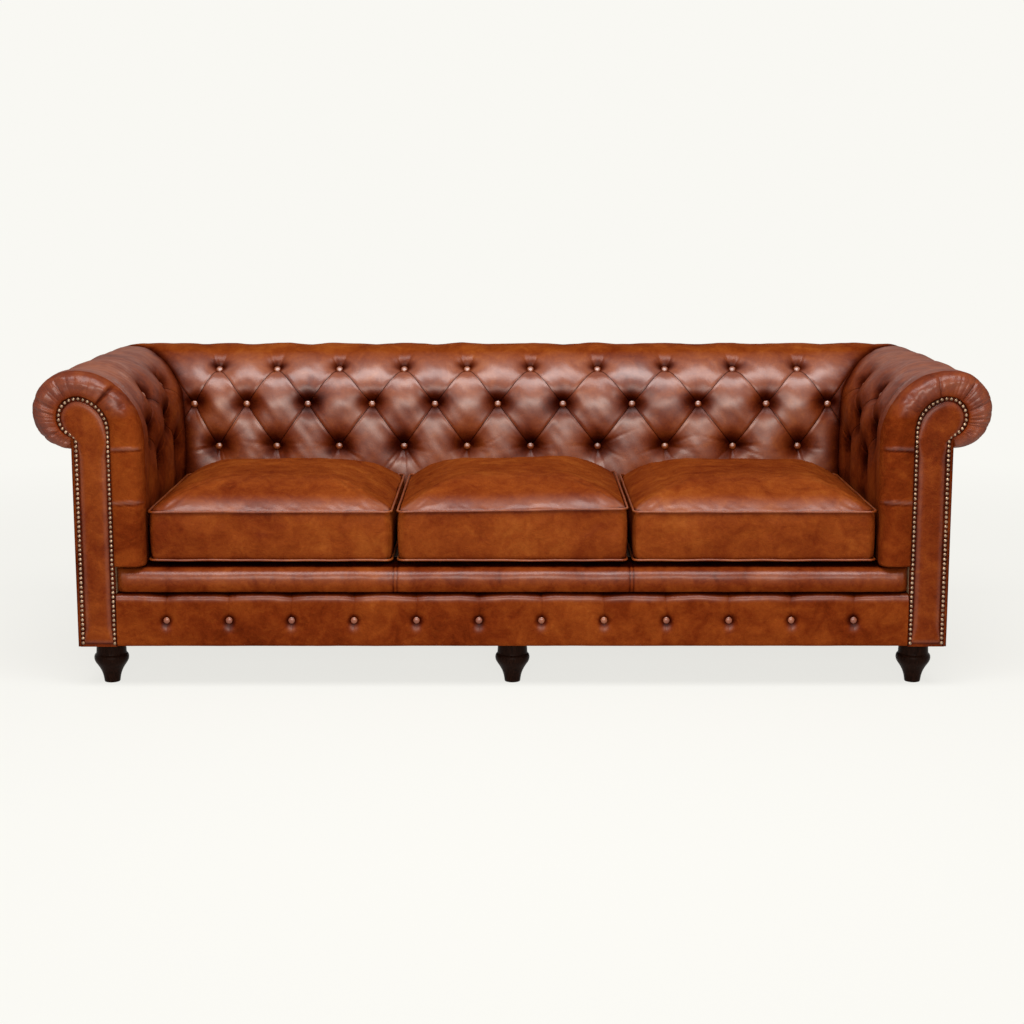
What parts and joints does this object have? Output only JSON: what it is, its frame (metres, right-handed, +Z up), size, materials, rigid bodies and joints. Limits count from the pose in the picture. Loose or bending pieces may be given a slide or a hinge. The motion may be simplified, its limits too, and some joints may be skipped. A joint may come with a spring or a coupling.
{
  "type": "roll-arm sofa",
  "caption": "Three-seat leather sofa with rolled arms, a diamond-buttoned back and arms of equal height, loose box cushions and short turned feet.",
  "frame": {"origin": "on the floor, under the middle of the sofa's outline", "axes": "+X to the right along the sofa as someone in front of it sees it, +Y to its back, +Z up"},
  "size_m": [2.3, 0.92, 0.7739],
  "materials": {
    "brown_leather": "satin",
    "cushion_leather": "satin",
    "frame_wood": "matte",
    "dark_wood": "satin",
    "liner_board": "matte",
    "webbing": "matte",
    "padding": "matte",
    "foam": "matte",
    "deck_cloth": "matte",
    "dust_cloth": "matte",
    "bolt_steel": "satin",
    "zip_brass": "satin"
  },
  "bodies": {
    "sofa_frame": {"front_rail": "frame_wood", "back_rail": "frame_wood", "seat_stretchers": "frame_wood", "corner_blocks": "frame_wood", "seat_webbing": "webbing", "seat_pad": "padding", "deck_cover": "deck_cloth", "dust_cover": "dust_cloth", "front_lip": "brown_leather", "front_border": "brown_leather", "border_buttons": "brown_leather", "back_top_rail": "frame_wood", "back_stay_rail": "frame_wood", "back_posts": "frame_wood", "back_liner": "liner_board", "inside_back": "brown_leather", "back_buttons": "brown_leather", "outside_back": "brown_leather", "front_feet": "dark_wood", "back_feet": "dark_wood", "foot_bolts": "bolt_steel", "arm_front_board_left": "frame_wood", "arm_front_board_right": "frame_wood", "arm_top_rail_left": "frame_wood", "arm_top_rail_right": "frame_wood", "arm_stay_rail_left": "frame_wood", "arm_stay_rail_right": "frame_wood", "arm_liner_left": "liner_board", "arm_liner_right": "liner_board", "side_rail_left": "frame_wood", "side_rail_right": "frame_wood", "corner_post_left": "frame_wood", "corner_post_right": "frame_wood", "inside_arm_left": "brown_leather", "inside_arm_right": "brown_leather", "arm_buttons_left": "brown_leather", "arm_buttons_right": "brown_leather", "arm_facing_left": "brown_leather", "arm_facing_right": "brown_leather", "outside_arm_left": "brown_leather", "outside_arm_right": "brown_leather"},
    "left_cushion": {"cushion_cover_left": "cushion_leather", "cushion_core_left": "foam", "cushion_piping_left": "cushion_leather", "cushion_zip_left": "zip_brass"},
    "middle_cushion": {"cushion_cover_middle": "cushion_leather", "cushion_core_middle": "foam", "cushion_piping_middle": "cushion_leather", "cushion_zip_middle": "zip_brass"},
    "right_cushion": {"cushion_cover_right": "cushion_leather", "cushion_core_right": "foam", "cushion_piping_right": "cushion_leather", "cushion_zip_right": "zip_brass"}
  },
  "joints": [
    {"name": "left_cushion_lift", "type": "slide", "parent": "sofa_frame", "child": "left_cushion", "axis": [0, 0, 1], "range_m": [0, 0.48]},
    {"name": "middle_cushion_lift", "type": "slide", "parent": "sofa_frame", "child": "middle_cushion", "axis": [0, 0, 1], "range_m": [0, 0.48]},
    {"name": "right_cushion_lift", "type": "slide", "parent": "sofa_frame", "child": "right_cushion", "axis": [0, 0, 1], "range_m": [0, 0.48]}
  ]
}
